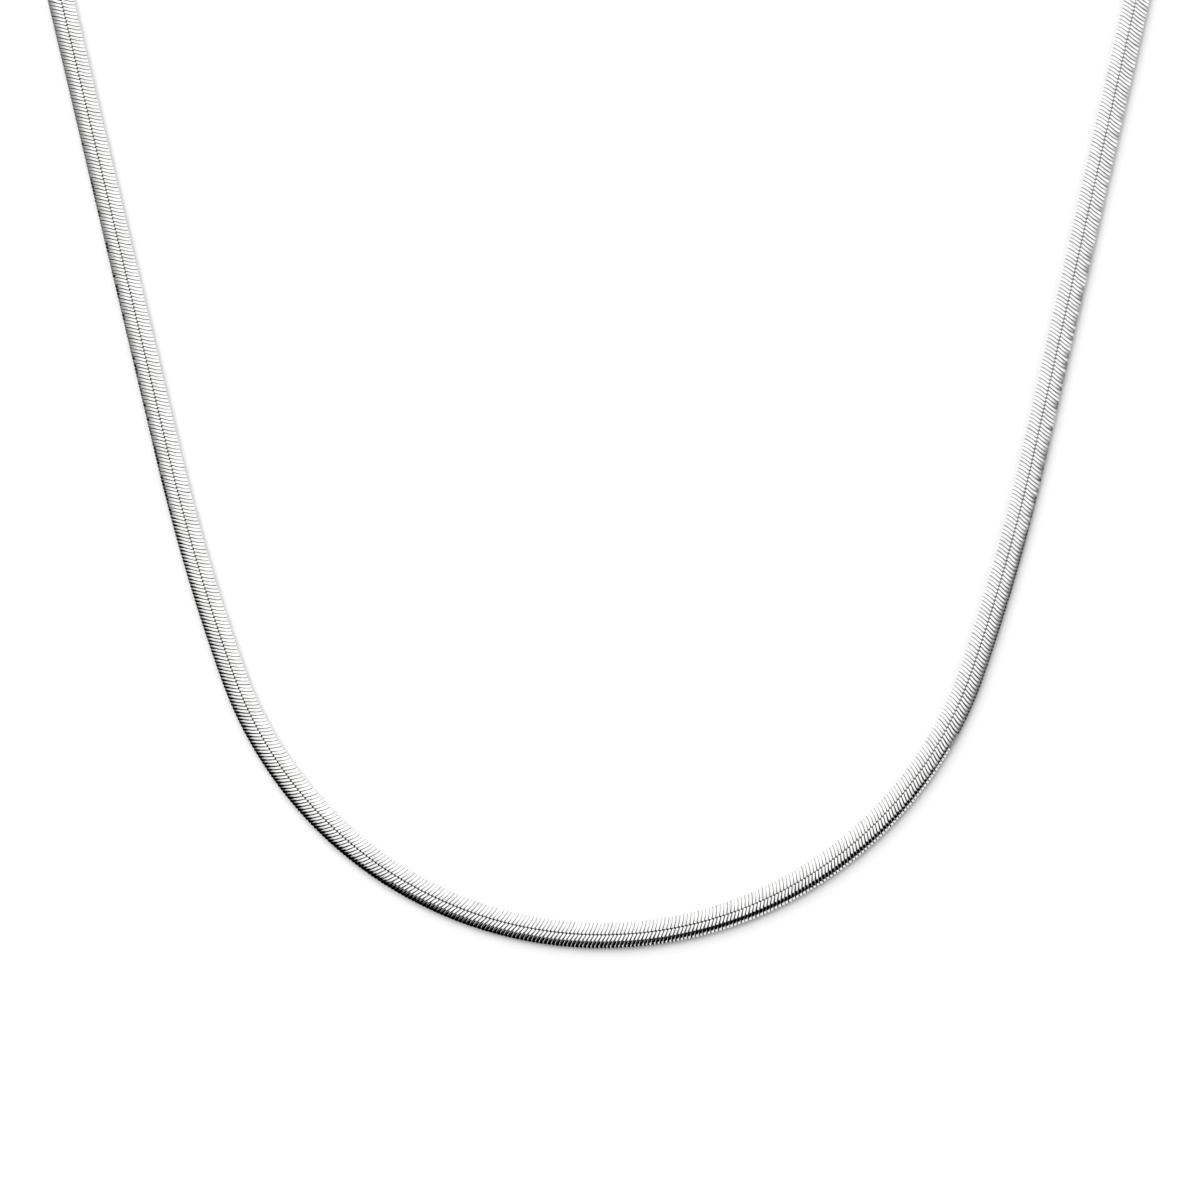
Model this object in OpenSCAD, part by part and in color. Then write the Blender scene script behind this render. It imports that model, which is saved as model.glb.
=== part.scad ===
// Flat snake chain necklace, clasped, lying on a level surface.
// Lengths are in millimetres. X runs across the necklace, Y from the front bend
// to the clasp, and Z up from the surface, which is at Z = 0.

/* [Chain] */
// Length of the whole loop along its middle, clasp and rings included
loop_len = 500; // [480:5:520]
// Width of the woven band
band_w = 3.0; // [2.6:0.1:3.2]
// Thickness of the woven band
band_t = 1.0; // [0.9:0.05:1.1]
// Width of the flat middle of the band, front and back
flat_w = 1.0; // [0.8:0.1:1.2]
// Width of the seam groove between the two rows of slats
seam_w = 0.3; // [0.2:0.05:0.4]
// Depth of the seam groove
seam_d = 0.12; // [0.06:0.02:0.2]

/* [Route] */
// Radius of the front bend, at the middle of the band
front_r = 45.2; // [43:0.2:48]
// How far the band turns on each side of the front bend's middle, in degrees
front_turn = 70.6; // [68:0.2:73]
// Radius of the shallow bend that leads into each arm
lead_r = 236; // [180:2:280]
// Lean of each straight arm away from the middle line, in degrees
arm_lean = 13; // [11:0.5:15]

/* [End caps] */
// Length of an end cap, without its eye
cap_l = 4.6; // [4:0.1:5.5]
// Width of an end cap
cap_w = 3.6; // [3.4:0.1:4]
// Thickness of an end cap
cap_t = 1.5; // [1.4:0.1:1.6]
// Length of the pressed tongue of the band inside a cap
tongue_l = 3.6; // [3:0.1:3.8]
// Width of the tongue
tongue_w = 1.8; // [1.4:0.1:1.8]
// Thickness of the tongue
tongue_t = 0.45; // [0.35:0.05:0.5]

/* [Rings] */
// Radius of a ring, to the middle of its wire
ring_r = 2.0; // [1.95:0.05:2.1]
// Diameter of a ring's wire
ring_wire = 0.7; // [0.6:0.05:0.7]
// Lean of a ring up from the surface, in degrees
ring_lean = 55; // [53:1:57]

/* [Clasp] */
// Radius of each eye, on the caps and the clasp, to the middle of its wire
eye_r = 1.2; // [1.15:0.05:1.2]
// Diameter of an eye's wire
eye_wire = 0.7; // [0.6:0.05:0.7]
// Radius of the clasp's round body
hub_r = 2.0; // [1.8:0.1:2.1]
// Distance from the clasp's body to the middle of its nose
claw_l = 4.0; // [3.8:0.1:4.5]
// Half the width of the claw, to the middle of its wire
claw_r = 1.6; // [1.55:0.05:1.7]
// Diameter of the claw's wire at the nose
claw_wire = 1.0; // [0.8:0.1:1.1]
// Diameter of the claw's back where it leaves the body
spine_wire = 1.4; // [1.1:0.1:1.5]

/* [Hidden] */

silver = [0.83, 0.83, 0.85];
gap = 0.1;             // between pieces that sit in each other
weld = 0.25;           // how far soldered wire sinks into what it joins
past = 1;              // how far a cut, or the tongue's root, runs past a face
round_step = 22.5;     // degrees between the points of a rounded edge
bend_step = 3.6;       // degrees between the band's sections in a bend, at most
$fn = 64;

// The route, from the front bend's lowest point at [0, 0], right-hand half
full_turn = 90 - arm_lean;
lead_turn = full_turn - front_turn;
lead_mid = [0, front_r] + (lead_r - front_r) * [-sin(front_turn), cos(front_turn)];
arm_start = lead_mid + lead_r * [sin(full_turn), -cos(full_turn)];
back_turn = 90 + arm_lean;

// The arms take the length that makes the loop loop_len long
half_bends = (front_r * front_turn + lead_r * lead_turn) * PI / 180;
back_per_r = back_turn * PI / 180;
arm_l = (loop_len / 2 - half_bends - back_per_r * arm_start.x / cos(arm_lean))
    / (1 + back_per_r * tan(arm_lean));
arm_end = arm_start + arm_l * [sin(arm_lean), cos(arm_lean)];
back_r = arm_end.x / cos(arm_lean);
back_mid = [0, arm_end.y + back_r * sin(arm_lean)];

// The closure: eyes, rings and clasp lie on one line across the top
hub_t = 3.0;                              // the thickest piece, flat on the surface
eye_z = hub_t / 2;
ring_drop = 0.6;                          // how far below its middle a ring is held
ring_reach = sqrt(ring_r * ring_r - ring_drop * ring_drop);
eye_out = eye_r + eye_wire / 2;
tail_l = hub_r + eye_out - weld;          // clasp body to clasp eye
closure_span = 4 * ring_reach + tail_l + claw_l;
tail_x = -closure_span / 2 + 2 * ring_reach;
hub_x = tail_x + tail_l;
nose_x = hub_x + claw_l;

// Each end cap leans up from the surface to the height of the eyes
cap_eye_l = cap_l + eye_out - weld;       // cap mouth to cap eye
cap_lift = asin((eye_z - cap_t / 2) / cap_eye_l);
mouth_z = cap_t / 2 * cos(cap_lift);
mouth_gap = 2 * gap;
cap_run = mouth_gap + cap_eye_l * cos(cap_lift);
end_turn = asin(closure_span / 2 / norm([back_r, cap_run])) + atan(cap_run / back_r);
closure_y = back_mid.y + back_r * cos(end_turn) + cap_run * sin(end_turn);

// The origin is under the middle of the whole necklace's box
low_y = -band_w / 2;
high_y = closure_y + claw_r + spine_wire / 2;
origin_y = (low_y + high_y) / 2;

// Right-hand side of an outline w wide and t thick, with a flat middle and
// elliptical edges, from its top down
function edge_side(w, t, flat) =
    [for (a = [0:round_step:180]) [flat / 2 + (w - flat) / 2 * sin(a), t / 2 * cos(a)]];

// The same points turned half round, for the left-hand side, from its foot up
function turned(points) = [for (p = points) -p];

module flat_round(w, t, flat) {
    right = edge_side(w, t, flat);
    polygon(concat(right, turned(right)));
}

// Lays an outline along X, its width along Y and its thickness along Z
module along_x(l) {
    rotate([90, 0, 90]) linear_extrude(height = l) children();
}

// Outline of the band: two rows of slats with a seam groove front and back
band_half = concat(
    [[0, band_t / 2 - seam_d], [seam_w / 2, band_t / 2]],
    edge_side(band_w, band_t, flat_w),
    [[seam_w / 2, -band_t / 2]]);
band_outline = concat(band_half, turned(band_half));

// Places of the band's sections along a bend, each with the angle it faces
function bend_places(middle, r, from, to) =
    let (steps = ceil((to - from) / bend_step))
    [for (i = [0:steps]) let (a = from + (to - from) * i / steps)
        [middle.x + r * cos(a), middle.y + r * sin(a), a]];

// The right-hand half of the route, whose arm runs straight between two bends
right_places = concat(
    bend_places([0, front_r], front_r, -90, front_turn - 90),
    bend_places(lead_mid, lead_r, front_turn - 90, full_turn - 90),
    bend_places(back_mid, back_r, -arm_lean, 90 - end_turn));

// Two bends that meet share a place, which is kept once
function unlike_last(list) =
    [for (i = [0:len(list) - 1]) if (i == 0 || norm(list[i] - list[i - 1]) > gap) list[i]];

// The whole route, from the left-hand end round the front to the right-hand end
route = let (right = unlike_last(right_places))
    concat([for (i = [len(right) - 1:-1:1]) [-right[i].x, right[i].y, 180 - right[i].z]], right);

// Sweeps an outline along the route, standing on the surface
module swept_band(outline) {
    n = len(outline);
    points = [for (p = route, q = outline)
        [p.x + q.x * cos(p.z), p.y + q.x * sin(p.z), q.y + band_t / 2]];
    walls = [for (i = [0:len(route) - 2], j = [0:n - 1]) let (k = (j + 1) % n)
        [i * n + j, (i + 1) * n + j, (i + 1) * n + k, i * n + k]];
    first = [for (j = [0:n - 1]) j];
    last = [for (j = [0:n - 1]) let (k = (n - j) % n) (len(route) - 1) * n + k];
    polyhedron(points, concat(walls, [first, last]));
}

// A round wire bent into part of a ring, flat in X and Y
module wire_ring(r, wire, turn = 360) {
    rotate_extrude(angle = turn) translate([r, 0]) circle(d = wire);
}

// Puts a piece at the right-hand end of the band, X along the band towards the
// clasp and leaning up as an end cap does, with its origin at the cap's mouth
module at_band_end() {
    translate([back_mid.x, back_mid.y, 0]) rotate([0, 0, 90 - end_turn])
        translate([back_r, 0, 0]) rotate([0, 0, 90])
            translate([mouth_gap, 0, mouth_z]) rotate([0, -cap_lift, 0]) children();
}

// The band's end is pressed thinner where it sits in a cap
module band_tongue() {
    at_band_end() translate([-past - mouth_gap, 0, 0])
        along_x(tongue_l + past + mouth_gap) flat_round(tongue_w, tongue_t, tongue_w - tongue_t);
}

module snake_chain() {
    color(silver) translate([0, -origin_y, 0]) {
        swept_band(band_outline);
        band_tongue();
        mirror([1, 0, 0]) band_tongue();
    }
}

// A pressed cap closed at its far end, with an eye soldered there
module end_cap() {
    color(silver) translate([0, -origin_y, 0]) at_band_end() {
        difference() {
            along_x(cap_l) flat_round(cap_w, cap_t, cap_w - cap_t);
            translate([-past, 0, 0]) along_x(tongue_l + past + gap)
                flat_round(tongue_w + 2 * gap, tongue_t + 2 * gap, tongue_w - tongue_t);
        }
        translate([cap_eye_l, 0, 0]) wire_ring(eye_r, eye_wire);
    }
}

module right_end_cap() {
    end_cap();
}

module left_end_cap() {
    mirror([1, 0, 0]) end_cap();
}

// A leaning ring that passes through two eyes, the first of them at x
module leaning_ring(x) {
    color(silver) translate([x + ring_reach, closure_y - origin_y, eye_z]) rotate([ring_lean, 0, 0])
        translate([0, ring_drop, 0]) wire_ring(ring_r, ring_wire);
}

module clasp_ring() {
    leaning_ring(-closure_span / 2);
}

module catch_ring() {
    leaning_ring(nose_x);
}

// The round body of the clasp, its rim eased top and bottom
module clasp_hub() {
    rim = 0.8;
    rotate_extrude()
        intersection() {
            flat_round(2 * hub_r, hub_t, 2 * (hub_r - rim));
            translate([0, -hub_t / 2]) square([hub_r, hub_t]);
        }
}

// A side of the claw, a round bar that tapers from the body to the nose
module claw_bar(side, wire) {
    translate([hub_x, side * claw_r, 0]) rotate([0, 90, 0])
        cylinder(d1 = wire, d2 = claw_wire, h = claw_l);
}

module clasp() {
    thumb_x = hub_x + 1.5;
    thumb_d = 0.9;
    thumb_l = 0.9;
    color(silver) translate([0, closure_y - origin_y, eye_z]) {
        translate([hub_x, 0, 0]) clasp_hub();
        translate([tail_x, 0, 0]) wire_ring(eye_r, eye_wire);
        claw_bar(1, spine_wire);
        claw_bar(-1, claw_wire);
        translate([nose_x, 0, 0]) rotate([0, 0, -90]) wire_ring(claw_r, claw_wire, 180);
        translate([thumb_x, -claw_r, 0]) rotate([90, 0, 0]) cylinder(d = thumb_d, h = thumb_l);
        translate([thumb_x, -claw_r - thumb_l, 0]) sphere(d = thumb_d);
    }
}

snake_chain();
left_end_cap();
right_end_cap();
clasp_ring();
catch_ring();
clasp();
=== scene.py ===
"""A flat snake chain necklace in polished silver, clasped and lying on a pale table.

The woven band is made slat by slat: two rows of slanted slats that meet in a
stepped seam and wrap round the band's edges. A row is first laid straight, with
X along the band, Y away from the seam and Z up, and is then bent to the route.
All lengths are in metres. Places along the band are distances from the front's
lowest point, below zero to the left.
"""

import math

import bmesh
import bpy
import numpy as np
from mathutils import Matrix, Vector


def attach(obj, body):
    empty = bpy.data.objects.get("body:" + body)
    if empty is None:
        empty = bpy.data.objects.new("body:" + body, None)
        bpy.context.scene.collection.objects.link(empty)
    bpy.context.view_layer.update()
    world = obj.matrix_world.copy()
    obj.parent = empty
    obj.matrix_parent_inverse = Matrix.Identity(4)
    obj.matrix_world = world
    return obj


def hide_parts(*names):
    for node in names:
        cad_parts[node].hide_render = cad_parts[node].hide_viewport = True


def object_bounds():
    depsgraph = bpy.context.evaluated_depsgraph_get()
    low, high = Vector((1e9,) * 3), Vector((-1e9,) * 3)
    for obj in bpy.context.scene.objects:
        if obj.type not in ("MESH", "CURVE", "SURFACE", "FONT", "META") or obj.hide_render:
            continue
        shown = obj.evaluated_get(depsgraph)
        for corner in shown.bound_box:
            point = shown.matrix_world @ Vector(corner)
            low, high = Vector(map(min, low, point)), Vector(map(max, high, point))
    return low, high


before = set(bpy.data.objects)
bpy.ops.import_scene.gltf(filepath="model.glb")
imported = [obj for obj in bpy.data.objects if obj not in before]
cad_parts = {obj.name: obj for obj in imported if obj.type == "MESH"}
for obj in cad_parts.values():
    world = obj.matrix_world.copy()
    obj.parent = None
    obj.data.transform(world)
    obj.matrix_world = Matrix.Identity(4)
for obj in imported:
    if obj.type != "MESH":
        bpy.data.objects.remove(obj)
cad_box = [list(corner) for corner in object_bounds()]

MM = 0.001

# The band, as in the solids
LOOP_LENGTH = 500 * MM
BAND_WIDTH = 3.0 * MM
BAND_THICKNESS = 1.0 * MM
BAND_FLAT = 1.0 * MM          # width of the flat middle of its section

# The route of the band's middle line, as in the solids
FRONT_RADIUS = 45.2 * MM
FRONT_TURN = math.radians(70.6)
LEAD_RADIUS = 236 * MM        # the shallow bend that leads into each arm
ARM_LEAN = math.radians(13)
BACK_TURN = math.radians(90) + ARM_LEAN

# The closure, as in the solids
CLOSURE_SPAN = 14.93 * MM     # between the eyes of the two end caps
CAP_EYE_REACH = 5.9 * MM      # from a cap's mouth to its eye
CAP_TILT = math.radians(7.3)
MOUTH_GAP = 0.2 * MM
MOUTH_HEIGHT = 0.744 * MM
TONGUE_LENGTH = 3.6 * MM
TONGUE_WIDTH = 1.8 * MM
TONGUE_THICKNESS = 0.45 * MM

# The two rows of slats, and the side of the seam that each is on: 1 is outwards
ROW_SIDES = {"inner_slats": -1, "outer_slats": 1}

# The slats, and their usual pitch along the band
PITCH = 0.43 * MM
SLAT_DEPTH = 0.12 * MM
SEAM_SHIFT = -0.055 * MM      # the seam lies a little inside the band's middle
EDGE_INSET = 0.02 * MM        # room for the slanted corners at the band's edge
END_FADE = 5 * MM             # the slats stand upright towards the caps
SLANT_SPREAD = 0.75           # degrees either way, from slat to slat
ROLL_SPREAD = 0.020           # rise of one side of a slat over its width, either way
SPREAD_SEED = 11              # each run gives the same slats

# How far a slat's lines across turn with its slant: 0 along the band, 1 square to the slat
SQUARE_AT_SEAM = 0.6
SQUARE_AT_EDGE = 0.35

# Half of a slat's section, for either row, where it is rolled flat: the share of the half
# width, and the depth below the crown
FLAT_HALVES = {
    "inner_slats": ((0.90, 0.0), (0.97, 0.014 * MM), (1.00, SLAT_DEPTH)),
    "outer_slats": ((0.82, 0.0), (0.94, 0.022 * MM), (1.00, SLAT_DEPTH)),
}
# The same where the outer row is still round, towards the edge of the band: tightly, or
# more widely
TIGHT_HALF = ((0.82, 0.002 * MM), (0.94, 0.010 * MM), (1.00, 0.130 * MM))
WIDE_HALF = ((0.63, 0.0), (0.94, 0.015 * MM), (1.00, 0.130 * MM))

# The lengths that the rows are made in, with the left and right half of their round
# sections, and the places where one length ends and the next begins
LENGTH_HALVES = {
    "left": (TIGHT_HALF, TIGHT_HALF),
    "left_bend": (WIDE_HALF, WIDE_HALF),
    "front": (TIGHT_HALF, WIDE_HALF),
    "right": (TIGHT_HALF, TIGHT_HALF),
}
LENGTH_ENDS = (-75 * MM, -25 * MM, 25 * MM)

# A slat's run from the seam on top round the edge to the seam below: distance from the
# seam, and height
SLAT_RUN = (
    (0.025 * MM, 0.965 * MM),
    (0.05 * MM, 0.990 * MM),
    (0.10 * MM, 0.999 * MM),
    (0.60 * MM, 1.000 * MM),
    (0.74 * MM, 0.989 * MM),
    (0.98 * MM, 0.945 * MM),
    (1.26 * MM, 0.862 * MM),
    (1.40 * MM, 0.790 * MM),
    (1.50 * MM, 0.700 * MM),
    (1.36 * MM, 0.300 * MM),
    (0.90 * MM, 0.020 * MM),
    (0.03 * MM, 0.060 * MM),
)
EDGE_STATION = 8              # where the run turns sharply, at the band's edge

# Width of a slat at each station of its run, as a share of the pitch, and how round its
# section is there
WIDTHS = {
    "inner_slats": (0.72, 0.78, 0.80, 0.86, 0.92, 0.955, 0.965, 0.965, 0.965, 0.965, 0.96, 0.60),
    "outer_slats": (0.76, 0.83, 0.86, 0.80, 0.79, 0.84, 0.87, 0.82, 0.70, 0.80, 0.86, 0.60),
}
ROUNDNESS = {
    "inner_slats": (0,) * len(SLAT_RUN),
    "outer_slats": (0, 0, 0, 0, 0.3, 0.9, 1, 1, 1, 0.5, 0, 0),
}

# A slat slants less towards the edge: distances from the seam, and how much of each counts
# for the slant
LEAN_REACHES = (0, 0.60 * MM, 0.83 * MM, 1.12 * MM, 1.50 * MM)
LEANS = (0, 0.60 * MM, 0.816 * MM, 1.03 * MM, 1.20 * MM)

# Where a row's gaps are fully open, and where they are as usual, to either side: the inner
# row's are open in the arms, and the outer row's round the front
OPENING_PLACES = {"inner_slats": (65 * MM, 35 * MM), "outer_slats": (50 * MM, 70 * MM)}
# The share of a slat's width that goes where they are open, by distance from the seam
OPENING_REACHES = (0.10 * MM, 0.40 * MM, 0.80 * MM, 1.10 * MM)
OPENINGS = {"inner_slats": (0.0, 0.01, 0.05, 0.06), "outer_slats": (0.0, 0.15, 0.15, 0.0)}

# Pitch of the slats by place, to either side
PITCH_PLACES = (10 * MM, 32 * MM, 67 * MM, 110 * MM, 150 * MM)
PITCHES = (0.451 * MM, 0.443 * MM, 0.433 * MM, 0.422 * MM, 0.430 * MM)
PITCH_POINTS = 4001           # points along the band at which the pitches are added up

# Slant of the slats by place, in degrees from square to the band
SLANT_PLACES = {
    "inner_slats": tuple(place * MM for place in (-100, -45, 0, 18, 65, 105)),
    "outer_slats": tuple(place * MM for place in (-105, -45, -15, 0, 18, 38, 65, 105)),
}
SLANTS = {
    "inner_slats": (27.0, 27.5, 26.0, 24.0, 25.4, 24.5),
    "outer_slats": (28.0, 29.5, 32.5, 32.5, 34.5, 30.5, 30.6, 30.2),
}

# The core inside the band
CORE_END = 0.12 * MM          # how far it stands back at the ends of the band
CORE_EDGE = 0.06 * MM         # and at the band's edges
CORE_OVERLAP = 0.01 * MM      # how far the slats sink into it
CORE_POINTS = 16              # round its section
CORE_CUTS = 320               # along its length
TONGUE_ROOT = 1.0 * MM        # how far a tongue reaches back from the cap's mouth, into it
TONGUE_ROUNDING = 0.15 * MM
TONGUE_ROUNDING_STEPS = 3

# Edges that turn more than this stay sharp: anywhere on the band, along a slat, and on
# the fittings
SHARP_ANGLE = math.radians(70)
EASED_ANGLE = math.radians(16)
FITTING_SHARP_ANGLE = math.radians(35)
MERGE_DISTANCE = 0.0001 * MM

# The silver's tones, the two ends of each finish's roughness, and how deep its fine
# polishing lines are
POLISHED_TONE = (0.94, 0.94, 0.93, 1)
CLOUDED_TONE = (0.80, 0.80, 0.80, 1)
# The gap tone is painted shade deep in the slats' sides, where the gaps between them are
PAINTED_GAP_SHADE_TONE = (0.30, 0.30, 0.31, 1)
# The core's two tones are near black: painted shade that shows through the gaps between the slats
PAINTED_SHADE_CORE_TONE = (0.035, 0.035, 0.035, 1)
DULL_PAINTED_SHADE_CORE_TONE = (0.02, 0.02, 0.02, 1)
SLAT_ROUGHNESS = (0.03, 0.07)
CORE_ROUGHNESS = (0.45, 0.6)
FITTING_ROUGHNESS = (0.08, 0.18)
SLAT_LINE_DEPTH = 0.0002 * MM
CORE_LINE_DEPTH = 0.001 * MM
FITTING_LINE_DEPTH = 0.0006 * MM

# The silver's cloudiness and polishing lines: how many to the metre, how finely broken,
# and the range of the noise that counts
CLOUD_SCALE = 700.0
CLOUD_DETAIL = 3.0
CLOUD_RANGE = (0.35, 0.75)
CLOUD_SHARE = 0.25            # how far a cloud turns the tone towards the second tone
LINE_SCALE = 5000.0
LINE_DETAIL = 2.0
LINE_RANGE = (0.3, 0.7)
LINE_STRETCH = (1.0, 6.0, 1.0)  # closer along Y, so that they come out as lines

# Depths in a slat's section, as shares of its whole depth, over which its sides turn satin,
# and over which painted shade darkens them, as shade in the gaps between the slats
SATIN_DEPTHS = (0.05, 0.20)
SATIN_ROUGHNESS = 0.45
PAINTED_SHADE_DEPTHS = (0.12, 0.5)

# The table
TABLE_REACH = 4               # from its middle to its sides
TABLE_DROP = 0.01 * MM        # just clear of the necklace's lowest faces
TABLE_TONE = (0.86, 0.86, 0.86, 1)
TABLE_ROUGHNESS = 0.9

# The studio. Its angles are in degrees: azimuths from +X, below zero in front, and tilts
# away from straight up
WALL_LEVEL = 1.15
FILL_SHARE = 0.84             # how much of the walls' light counts on the table
FRONT_AZIMUTH = -110          # the middle of the darker front half
FRONT_FADE = 0.06             # half the depth of its border, on a sphere of radius 1
FLOOR_SHADE = 0.80            # how dark the front is at the floor
SHADE_POWER = 6.0             # how late it fades upwards
RIGHT_SHADE = 0.22            # how much darker it is at the right
# Round patches: azimuth and tilt of the middle, and the radii between which they fade
RIGHT_PATCH = (-20, 85, 20, 72)
BLACK_PATCH = (-102, 80, 64, 68)
# Upright screens: azimuth of the middle, the two reaches to its sides and the two heights,
# on a sphere of radius 1, between which they fade
BLACK_SCREEN = (-149, (29, 33), (0.74, 0.80))
WHITE_SCREEN = (-62, (18, 27), (0.68, 0.75))
WHITE_LEVEL = 0.95

# The softbox, seen from the middle of the view
SOFTBOX_DIRECTION = (135, 42)
SOFTBOX_DISTANCE = 1.6
SOFTBOX_SIZE = 2.0
SOFTBOX_POWER = 33

# The camera, straight above the front of the necklace
VIEW_CENTRE = Vector((-0.27 * MM, -54.40 * MM, BAND_THICKNESS))
VIEW_WIDTH = 138.5 * MM
VIEW_TURN = math.radians(-0.30)
CAMERA_HEIGHT = 1.0
SENSOR_WIDTH = 36             # in millimetres, unlike the rest
CLIP_START = 0.01
CLIP_END = 50

rng = np.random.default_rng(SPREAD_SEED)


# The route

lead_turn = math.radians(90) - ARM_LEAN - FRONT_TURN
full_turn = FRONT_TURN + lead_turn
lead_middle = Vector((0, FRONT_RADIUS)) + (LEAD_RADIUS - FRONT_RADIUS) * Vector(
    (-math.sin(FRONT_TURN), math.cos(FRONT_TURN)))
arm_start = lead_middle + LEAD_RADIUS * Vector((math.sin(full_turn), -math.cos(full_turn)))

# The arms take the length that makes the loop as long as it is
half_bends = FRONT_RADIUS * FRONT_TURN + LEAD_RADIUS * lead_turn
arm_length = (
    (LOOP_LENGTH / 2 - half_bends - BACK_TURN * arm_start.x / math.cos(ARM_LEAN))
    / (1 + BACK_TURN * math.tan(ARM_LEAN)))
arm_end = arm_start + arm_length * Vector((math.sin(ARM_LEAN), math.cos(ARM_LEAN)))
back_radius = arm_end.x / math.cos(ARM_LEAN)
back_middle = Vector((0, arm_end.y + back_radius * math.sin(ARM_LEAN)))

# The band ends in the back bend, where the closure takes over
cap_run = MOUTH_GAP + CAP_EYE_REACH * math.cos(CAP_TILT)
end_turn = (math.asin(CLOSURE_SPAN / 2 / math.hypot(back_radius, cap_run))
            + math.atan(cap_run / back_radius))
band_half = half_bends + arm_length + back_radius * (BACK_TURN - end_turn)

# Length and turn of each stretch of the route's right-hand half
STRETCHES = (
    (FRONT_RADIUS * FRONT_TURN, FRONT_TURN),
    (LEAD_RADIUS * lead_turn, lead_turn),
    (arm_length, 0.0),
    (back_radius * BACK_TURN, BACK_TURN),
)

# The route starts half a band's width inside the lowest line of the solids
ROUTE_LIFT = cad_box[0][1] + BAND_WIDTH / 2


def route_at(places):
    """Points of the middle line at the given places, and its outward directions there."""
    side = np.where(places < 0, -1.0, 1.0)
    left_over = np.abs(places)
    x = np.zeros(len(places))
    y = np.full(len(places), ROUTE_LIFT)
    faced = np.zeros(len(places))
    heading = 0.0
    for length, turn in STRETCHES:
        gone = np.clip(left_over, 0, length)
        left_over = left_over - gone
        if turn:
            radius = length / turn
            turned = gone * turn / length
            x += radius * (np.sin(heading + turned) - math.sin(heading))
            y += radius * (math.cos(heading) - np.cos(heading + turned))
            faced += turned
        else:
            x += gone * math.cos(heading)
            y += gone * math.sin(heading)
        heading += turn
    points = np.column_stack((side * x, y))
    outward = np.column_stack((side * np.sin(faced), -np.cos(faced)))
    return points, outward


def read_points(mesh):
    """The mesh's points as an array."""
    points = np.empty(len(mesh.vertices) * 3, np.float32)
    mesh.vertices.foreach_get("co", points)
    return points.reshape(-1, 3).astype(float)


def bend_to_route(mesh, along, across, up):
    """Puts the points of a straight mesh on the route, from their places along and across it."""
    middle, outward = route_at(along)
    level = middle + outward * across[:, None]
    points = np.column_stack((level, up)).astype(np.float32)
    mesh.vertices.foreach_set("co", points.ravel())
    mesh.update()


# Making pieces

def finished(bm, name, material, sharp_angle=SHARP_ANGLE):
    """Makes a bmesh a mesh in one material, merged, facing outwards, and smooth apart from
    its sharp edges."""
    bmesh.ops.remove_doubles(bm, verts=bm.verts, dist=MERGE_DISTANCE)
    bmesh.ops.recalc_face_normals(bm, faces=bm.faces)
    for face in bm.faces:
        face.smooth = True
    for edge in bm.edges:
        edge.smooth = edge.smooth and edge.calc_face_angle(0) < sharp_angle
    mesh = bpy.data.meshes.new(name)
    bm.to_mesh(mesh)
    bm.free()
    mesh.materials.append(material)
    return mesh


def place(name, data):
    """Makes a mesh, a lamp or a camera an object in the scene."""
    piece = bpy.data.objects.new(name, data)
    bpy.context.scene.collection.objects.link(piece)
    return piece


def dress(mesh, node):
    """Makes a mesh a piece of the same name on the root body, which stands for a node of the frame
    and hides that node's solid."""
    piece = place(mesh.name, mesh)
    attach(piece, "root")
    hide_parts(node)


# Shader nodes, for the finishes and the studio

def add(tree, kind, sockets=None, **settings):
    """Adds a shader node. A socket takes a value, or another node's output."""
    node = tree.nodes.new(kind)
    for key, value in settings.items():
        setattr(node, key, value)
    for key, value in (sockets or {}).items():
        if isinstance(value, bpy.types.NodeSocket):
            tree.links.new(value, node.inputs[key])
        else:
            node.inputs[key].default_value = value
    return node


def ranged(tree, value, low, high, smooth=False, source=(0.0, 1.0)):
    """Turns a value between the two ends of a source range into one from low to high."""
    sockets = {"Value": value, "From Min": source[0], "From Max": source[1],
               "To Min": low, "To Max": high}
    kind = "SMOOTHSTEP" if smooth else "LINEAR"
    return add(tree, "ShaderNodeMapRange", sockets, interpolation_type=kind).outputs[0]


def mixed(tree, operation, first, second):
    """Two values put together by a sum of the given kind."""
    return add(tree, "ShaderNodeMath", {0: first, 1: second}, operation=operation).outputs[0]


# Finishes

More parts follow.
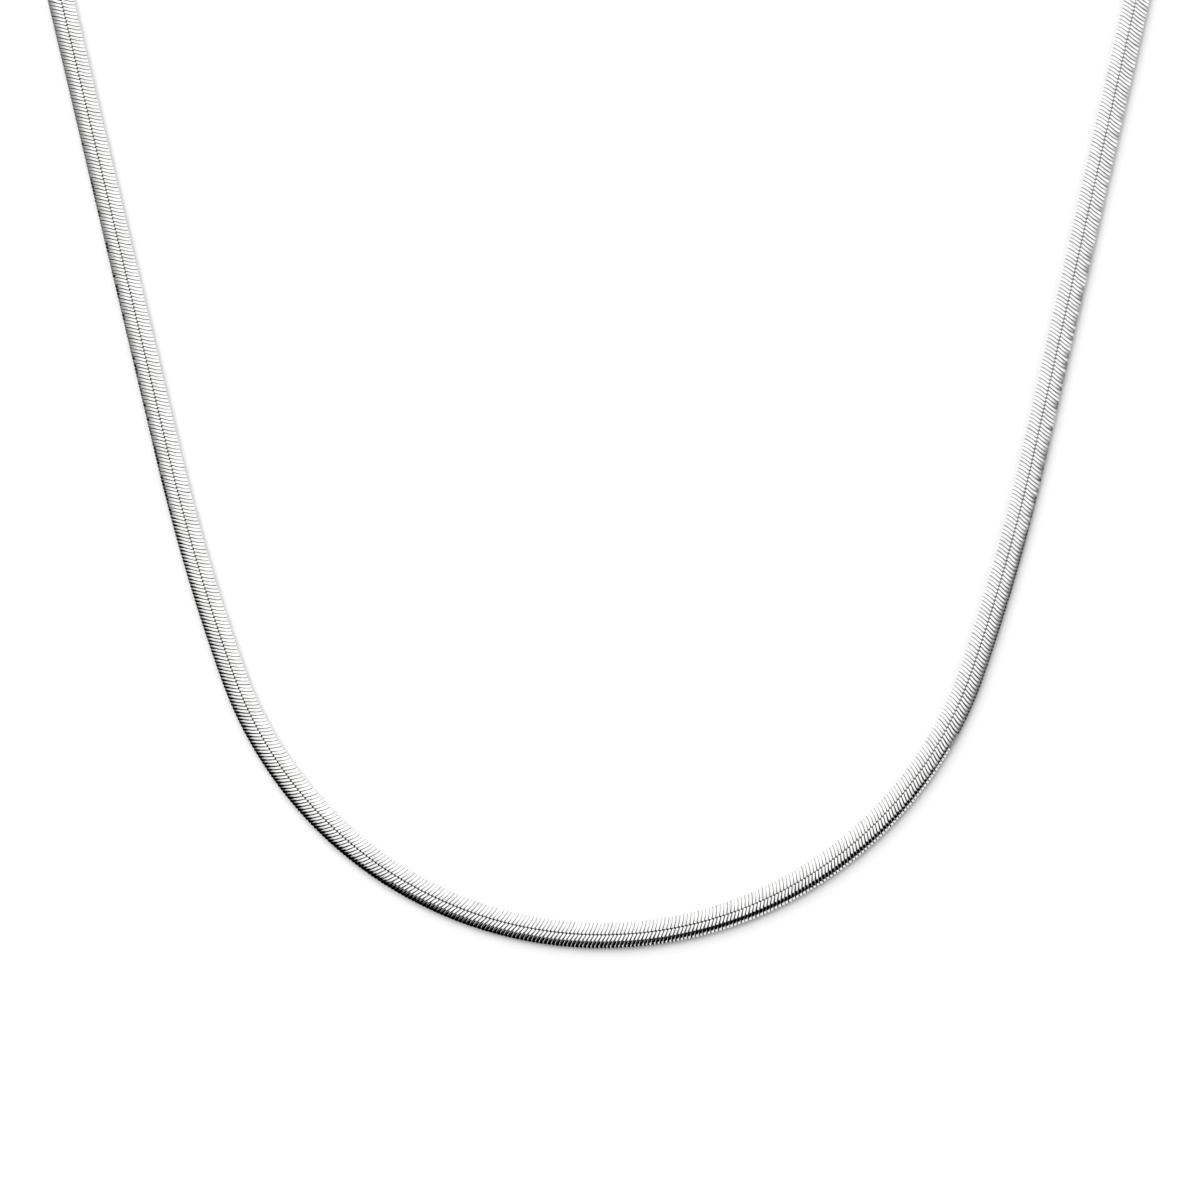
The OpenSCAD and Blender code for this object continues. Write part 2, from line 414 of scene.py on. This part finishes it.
def silver(name, bright, cloud_and_shade_tone, roughness, line_depth, grooved=False):
    """Polished silver with a faint cloudiness and fine polishing lines. A grooved one
    is satin on the slats' eased sides and has painted shade in the gaps between them."""
    material = bpy.data.materials.new(name)
    material.use_nodes = True
    tree = material.node_tree
    shader = tree.nodes["Principled BSDF"]
    shader.inputs["Metallic"].default_value = 1.0
    where = add(tree, "ShaderNodeTexCoord").outputs["Object"]
    clouds = add(tree, "ShaderNodeTexNoise",
                 {"Vector": where, "Scale": CLOUD_SCALE, "Detail": CLOUD_DETAIL}).outputs[0]
    cloud_and_painted_shade = ranged(tree, clouds, 0.0, CLOUD_SHARE, source=CLOUD_RANGE)
    stretched = add(tree, "ShaderNodeMapping", {"Vector": where, "Scale": LINE_STRETCH}).outputs[0]
    lines = add(tree, "ShaderNodeTexNoise",
                {"Vector": stretched, "Scale": LINE_SCALE, "Detail": LINE_DETAIL}).outputs[0]
    rough = ranged(tree, lines, *roughness, source=LINE_RANGE)
    if grooved:
        depth = add(tree, "ShaderNodeAttribute", attribute_name="groove").outputs["Fac"]
        # Painted shade: deep in the slats' sides the tone turns to the gap tone
        painted_shade = ranged(tree, depth, 0.0, 1.0, source=PAINTED_SHADE_DEPTHS)
        cloud_and_painted_shade = mixed(tree, "MAXIMUM", cloud_and_painted_shade, painted_shade)
        satin = ranged(tree, depth, 0.0, SATIN_ROUGHNESS, smooth=True, source=SATIN_DEPTHS)
        rough = mixed(tree, "MAXIMUM", rough, satin)

    # A Mix node's sockets for colours share their names with others, so they go by number
    tone = add(tree, "ShaderNodeMix", {"Factor": cloud_and_painted_shade, 6: bright, 7: cloud_and_shade_tone}, data_type="RGBA")
    tree.links.new(tone.outputs[2], shader.inputs["Base Color"])
    tree.links.new(rough, shader.inputs["Roughness"])
    bump = add(tree, "ShaderNodeBump", {"Height": lines, "Strength": 1.0, "Distance": line_depth})
    tree.links.new(bump.outputs[0], shader.inputs["Normal"])
    return material


slat_silver = silver("slat_silver", POLISHED_TONE, PAINTED_GAP_SHADE_TONE, SLAT_ROUGHNESS, SLAT_LINE_DEPTH,
                     grooved=True)
# The core is near black, as painted shade between the slats
painted_shade_core_silver = silver("painted_shade_core_silver", PAINTED_SHADE_CORE_TONE, DULL_PAINTED_SHADE_CORE_TONE, CORE_ROUGHNESS, CORE_LINE_DEPTH)
plain_silver = silver("plain_silver", POLISHED_TONE, CLOUDED_TONE, FITTING_ROUGHNESS,
                      FITTING_LINE_DEPTH)


# The slats

def slat_places():
    """Middles and pitches of the slats of each row. Those of the outer row stand half a
    pitch further on."""
    # How many slats have been passed at each point of the band, made whole at its end
    grid = np.linspace(-band_half, band_half, PITCH_POINTS)
    density = 1 / np.interp(np.abs(grid), PITCH_PLACES, PITCHES)
    steps = (density[1:] + density[:-1]) / 2 * np.diff(grid)
    passed = np.concatenate(([0], np.cumsum(steps)))
    count = round(passed[-1])
    passed *= count / passed[-1]

    numbers = {"inner_slats": np.arange(count) + 0.5, "outer_slats": np.arange(count - 1) + 1.0}
    rows = {}
    for row_name, row_numbers in numbers.items():
        starts, ends = np.interp([row_numbers - 0.5, row_numbers + 0.5], passed, grid)
        rows[row_name] = np.interp(row_numbers, passed, grid), ends - starts
    return rows


def slat_section(row_name, length_name, width, roundness):
    """Corners of a slat's section, X across it and Z up from its crown."""
    half = PITCH / 2 * width
    left, right = [
        [Vector(flat).lerp(rounded, roundness)
         for flat, rounded in zip(FLAT_HALVES[row_name], round_half)]
        for round_half in LENGTH_HALVES[length_name]]
    return ([Vector((-half * share, 0, -depth)) for share, depth in left]
            + [Vector((half * share, 0, -depth)) for share, depth in reversed(right)])


def station_matrix(station):
    """Stands a section at a station of the slat's run, square to the run there."""
    here = Vector(SLAT_RUN[station])
    line = Vector((0, 0))
    if station:
        line += (here - Vector(SLAT_RUN[station - 1])).normalized()
    if station < len(SLAT_RUN) - 1:
        line += (Vector(SLAT_RUN[station + 1]) - here).normalized()
    return (Matrix.Translation((0, here.x, here.y))
            @ Matrix.Rotation(math.atan2(line.y, line.x), 4, "X"))


def slat_bmesh(row_name, length_name):
    """One slat, a flattened wire that starts and ends in the seam."""
    bm = bmesh.new()
    corner_layer = bm.verts.layers.int.new("corner")
    station_layer = bm.verts.layers.int.new("station")
    groove_layer = bm.verts.layers.float.new("groove")
    end = None
    for station, width in enumerate(WIDTHS[row_name]):
        roundness = ROUNDNESS[row_name][station]
        section = slat_section(row_name, length_name, width, roundness)
        if end:
            grown = bmesh.ops.extrude_face_region(bm, geom=[end])["geom"]
            if station > 1:       # the first end stays, and closes the slat
                bmesh.ops.delete(bm, geom=[end], context="FACES_ONLY")
            end = next(item for item in grown if isinstance(item, bmesh.types.BMFace))
        else:
            end = bm.faces.new([bm.verts.new(point) for point in section])
            for corner, vert in enumerate(end.verts):
                vert[corner_layer] = corner
        stands = station_matrix(station)
        for vert in end.verts:
            point = section[vert[corner_layer]]
            vert.co = stands @ point
            vert[station_layer] = station
            # How deep the point lies in the slat's side, which sets its satin and its painted
            # shade
            vert[groove_layer] = -point.z / SLAT_DEPTH * (1 - roundness)
    bm.normal_update()
    for edge in bm.edges:
        first, last = (vert[station_layer] for vert in edge.verts)
        if first == last:
            edge.smooth = first != EDGE_STATION
        else:
            edge.smooth = edge.calc_face_angle(0) < EASED_ANGLE
    for layer in (corner_layer, station_layer):
        bm.verts.layers.int.remove(layer)
    return bm


def straight_row(slat_mesh, count):
    """A straight row of slats, one pitch apart, as one mesh."""
    row = place("row", slat_mesh)
    array = row.modifiers.new("slats", "ARRAY")
    array.count = count
    array.use_relative_offset = False
    array.use_constant_offset = True
    array.constant_offset_displace = (PITCH, 0, 0)
    view = bpy.context.evaluated_depsgraph_get()
    mesh = bpy.data.meshes.new_from_object(row.evaluated_get(view))
    bpy.data.objects.remove(row)
    bpy.data.meshes.remove(slat_mesh)
    return mesh


def slants_at(middles, row_name):
    """Slant of each slat of a row, in radians, which fades out towards the caps."""
    spread = rng.uniform(-SLANT_SPREAD, SLANT_SPREAD, len(middles))
    slant = np.interp(middles, SLANT_PLACES[row_name], SLANTS[row_name]) + spread
    fade = np.clip((band_half - np.abs(middles)) / END_FADE, 0, 1)
    return np.radians(slant) * fade


def lay_slats(mesh, middles, pitches, row_name):
    """Slants a straight row's slats and bends the row to the route."""
    points = read_points(mesh)
    slat = np.arange(len(points)) // (len(points) // len(middles))
    from_seam = points[:, 1]

    # How far each point is from its slat's middle line, less where the gaps are open
    aside = (points[:, 0] - slat * PITCH) * (pitches / PITCH)[slat]
    whole, none = OPENING_PLACES[row_name]
    opened = np.clip((np.abs(middles) - none) / (whole - none), 0, 1)[slat]
    aside *= 1 - opened * np.interp(from_seam, OPENING_REACHES, OPENINGS[row_name])

    # The outer row's slats run outwards from the seam, and the inner row's run inwards
    side = ROW_SIDES[row_name]
    reach = BAND_WIDTH / 2 - EDGE_INSET - side * SEAM_SHIFT
    share = from_seam / (BAND_WIDTH / 2)
    slant = slants_at(middles, row_name)[slat]
    square = SQUARE_AT_SEAM + (SQUARE_AT_EDGE - SQUARE_AT_SEAM) * share
    lean = side * np.interp(from_seam, LEAN_REACHES, LEANS)
    along = middles[slat] - lean * np.tan(slant) + aside * (1 - square * np.sin(slant) ** 2)
    across = SEAM_SHIFT + side * share * reach + aside * square * np.sin(slant) * np.cos(slant)
    roll = rng.uniform(-ROLL_SPREAD, ROLL_SPREAD, len(middles))[slat]
    bend_to_route(mesh, along, across, points[:, 2] + aside * roll)
    if side > 0:
        mesh.flip_normals()       # laying the outer row mirrors it


def make_rows():
    """The two rows of slats, each in several lengths."""
    for row_name, (middles, pitches) in slat_places().items():
        lengths = np.digitize(middles, LENGTH_ENDS)
        for number, length_name in enumerate(LENGTH_HALVES):
            here = lengths == number
            slat_mesh = finished(slat_bmesh(row_name, length_name), "slat", slat_silver)
            mesh = straight_row(slat_mesh, int(here.sum()))
            lay_slats(mesh, middles[here], pitches[here], row_name)
            mesh.name = f"{row_name}_{length_name}"
            dress(mesh, "snake_chain")


# The core

def band_end_matrix(side):
    """Stands a piece at an end of the band as the end cap stands there, X towards the clasp."""
    turn = math.radians(90) - end_turn
    at_right = (
        Matrix.Translation((back_middle.x, back_middle.y + ROUTE_LIFT, 0))
        @ Matrix.Rotation(turn, 4, "Z") @ Matrix.Translation((back_radius, 0, 0))
        @ Matrix.Rotation(math.radians(90), 4, "Z")
        @ Matrix.Translation((MOUTH_GAP, 0, MOUTH_HEIGHT))
        @ Matrix.Rotation(-CAP_TILT, 4, "Y"))
    return at_right if side > 0 else Matrix.Diagonal((-1, 1, 1, 1)) @ at_right


def straight_core():
    """The core as a straight bar, X along it and Y across it."""
    bm = bmesh.new()
    ring = bmesh.ops.create_circle(bm, cap_ends=True, segments=CORE_POINTS, radius=1)["verts"]
    round_width = (BAND_WIDTH - BAND_FLAT) / 2 - CORE_EDGE
    round_height = BAND_THICKNESS / 2 - SLAT_DEPTH + CORE_OVERLAP
    for vert in ring:
        # The circle's points at the very top and bottom stay in the middle of the flat
        on_middle = abs(vert.co.x) < 0.01
        flat = 0 if on_middle else math.copysign(BAND_FLAT / 2, vert.co.x)
        vert.co = (CORE_END - band_half, flat + vert.co.x * round_width,
                   BAND_THICKNESS / 2 + vert.co.y * round_height)
    grown = bmesh.ops.extrude_face_region(bm, geom=bm.faces[:])["geom"]
    moved = [item for item in grown if isinstance(item, bmesh.types.BMVert)]
    bmesh.ops.translate(bm, vec=(2 * (band_half - CORE_END), 0, 0), verts=moved)
    long_edges = [edge for edge in bm.edges if edge.calc_length() > band_half]
    bmesh.ops.subdivide_edges(bm, edges=long_edges, cuts=CORE_CUTS)
    return finished(bm, "straight_core", painted_shade_core_silver)


def make_core():
    """The inside of the band, near black as painted shade between the slats, with the tongues that
    sit in the end caps.
    """
    core = straight_core()
    points = read_points(core)
    bend_to_route(core, points[:, 0], points[:, 1], points[:, 2])
    bm = bmesh.new()
    bm.from_mesh(core)
    bpy.data.meshes.remove(core)
    shape = (Matrix.Translation(((TONGUE_LENGTH - TONGUE_ROOT) / 2, 0, 0))
             @ Matrix.Diagonal((TONGUE_LENGTH + TONGUE_ROOT, TONGUE_WIDTH, TONGUE_THICKNESS, 1)))
    for side in (-1, 1):
        tongue = bmesh.ops.create_cube(bm, size=1, matrix=band_end_matrix(side) @ shape)["verts"]
        edges = {edge for vert in tongue for edge in vert.link_edges}
        bmesh.ops.bevel(bm, geom=list(edges), offset=TONGUE_ROUNDING,
                        segments=TONGUE_ROUNDING_STEPS, profile=0.5, affect="EDGES", material=-1)
    dress(finished(bm, "band_core", painted_shade_core_silver), "snake_chain")


# The fittings

def make_fittings():
    """Evenly polished copies of the caps, rings and clasp, in the place of their solids."""
    for fitting in ("left_end_cap", "right_end_cap", "clasp_ring", "catch_ring", "clasp"):
        bm = bmesh.new()
        bm.from_mesh(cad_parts[fitting].data)
        mesh = finished(bm, f"polished_{fitting}", plain_silver, FITTING_SHARP_ANGLE)
        dress(mesh, fitting)


# Table, light and camera

def make_table():
    """A plain pale table, just below the necklace."""
    bm = bmesh.new()
    bmesh.ops.create_grid(bm, x_segments=1, y_segments=1, size=TABLE_REACH)
    bmesh.ops.translate(bm, vec=(0, 0, -TABLE_DROP), verts=bm.verts)
    material = bpy.data.materials.new("pale_table")
    material.use_nodes = True
    shader = material.node_tree.nodes["Principled BSDF"]
    shader.inputs["Base Color"].default_value = TABLE_TONE
    shader.inputs["Roughness"].default_value = TABLE_ROUGHNESS
    mesh = bpy.data.meshes.new("table")
    bm.to_mesh(mesh)
    bm.free()
    mesh.materials.append(material)
    place("table", mesh)


def towards(azimuth, tilt):
    """A direction of length 1, from its azimuth and tilt."""
    turn = math.radians(azimuth)
    lean = math.radians(tilt)
    return (math.sin(lean) * math.cos(turn), math.sin(lean) * math.sin(turn), math.cos(lean))


def facing(tree, sight, azimuth, tilt):
    """How far the line of sight goes in a direction, from -1 to 1."""
    return add(tree, "ShaderNodeVectorMath", {0: sight, 1: towards(azimuth, tilt)},
               operation="DOT_PRODUCT").outputs["Value"]


def patch(tree, sight, azimuth, tilt, inner, outer):
    """1 inside a round patch of the studio, fading to 0 between two radii in degrees."""
    return ranged(tree, facing(tree, sight, azimuth, tilt), 0.0, 1.0, smooth=True,
                  source=(math.cos(math.radians(outer)), math.cos(math.radians(inner))))


def screen(tree, apart, azimuth, reaches, heights):
    """1 on an upright screen of the studio, fading to 0 between two reaches to its sides,
    in degrees, and between two heights."""
    turn = mixed(tree, "ARCTAN2", apart["Y"], apart["X"])
    aside = mixed(tree, "ABSOLUTE", mixed(tree, "SUBTRACT", turn, math.radians(azimuth)), 0.0)
    inside = ranged(tree, aside, 1.0, 0.0, smooth=True,
                    source=(math.radians(reaches[0]), math.radians(reaches[1])))
    lowness = ranged(tree, apart["Z"], 1.0, 0.0, smooth=True, source=heights)
    return mixed(tree, "MULTIPLY", inside, lowness)


def make_studio():
    """Pale walls all round. In front they darken towards the floor, and the silver mirrors
    a black side there, with a low white screen at its right."""
    world = bpy.data.worlds.new("studio")
    bpy.context.scene.world = world
    world.use_nodes = True
    tree = world.node_tree
    sight = add(tree, "ShaderNodeTexCoord").outputs["Generated"]
    apart = add(tree, "ShaderNodeSeparateXYZ", {0: sight}).outputs

    # Shade from 0 to 1: towards the floor in front, and black on a patch and a screen
    height = ranged(tree, apart["Z"], 0.0, 1.0)
    low = ranged(tree, mixed(tree, "POWER", height, SHADE_POWER), FLOOR_SHADE, 0.0)
    right = ranged(tree, patch(tree, sight, *RIGHT_PATCH), 0.0, RIGHT_SHADE)
    front = ranged(tree, facing(tree, sight, FRONT_AZIMUTH, 90), 0.0, 1.0, smooth=True,
                   source=(-FRONT_FADE, FRONT_FADE))
    shade = mixed(tree, "MULTIPLY", mixed(tree, "ADD", low, right), front)
    shade = mixed(tree, "MAXIMUM", shade, patch(tree, sight, *BLACK_PATCH))
    shade = mixed(tree, "MAXIMUM", shade, screen(tree, apart, *BLACK_SCREEN))

    # Light of the walls and of the white screen, less of it on the table. The camera
    # itself sees plain white
    lit = ranged(tree, shade, WALL_LEVEL, 0.0)
    white = ranged(tree, screen(tree, apart, *WHITE_SCREEN), 0.0, WHITE_LEVEL)
    lit = mixed(tree, "MAXIMUM", lit, white)
    path = add(tree, "ShaderNodeLightPath").outputs
    lit = mixed(tree, "MULTIPLY", lit, ranged(tree, path["Is Diffuse Ray"], 1.0, FILL_SHARE))
    seen = add(tree, "ShaderNodeMix", {"Factor": path["Is Camera Ray"], 2: lit, 3: 1.0},
               data_type="FLOAT").outputs[0]
    background = tree.nodes["Background"]
    background.inputs["Color"].default_value = (1, 1, 1, 1)
    tree.links.new(seen, background.inputs["Strength"])


def make_softbox():
    """One broad softbox, behind the necklace and to its left."""
    lamp = bpy.data.lights.new("softbox", "AREA")
    lamp.shape = "SQUARE"
    lamp.size = SOFTBOX_SIZE
    lamp.energy = SOFTBOX_POWER
    holder = place("softbox", lamp)
    holder.location = VIEW_CENTRE + SOFTBOX_DISTANCE * Vector(towards(*SOFTBOX_DIRECTION))
    holder.rotation_euler = (VIEW_CENTRE - holder.location).to_track_quat("-Z", "Y").to_euler()
    holder.visible_glossy = False  # the silver mirrors the walls alone


def make_camera():
    """A long lens straight above, framed as in the photograph."""
    lens = bpy.data.cameras.new("camera")
    lens.sensor_width = SENSOR_WIDTH
    lens.lens = SENSOR_WIDTH * CAMERA_HEIGHT / VIEW_WIDTH
    lens.clip_start = CLIP_START
    lens.clip_end = CLIP_END
    holder = place("camera", lens)
    holder.location = VIEW_CENTRE + Vector((0, 0, CAMERA_HEIGHT))
    holder.rotation_euler = (0, 0, VIEW_TURN)
    bpy.context.scene.camera = holder


make_rows()
make_core()
make_fittings()
make_table()
make_studio()
make_softbox()
make_camera()
bpy.context.scene.view_settings.view_transform = "Standard"
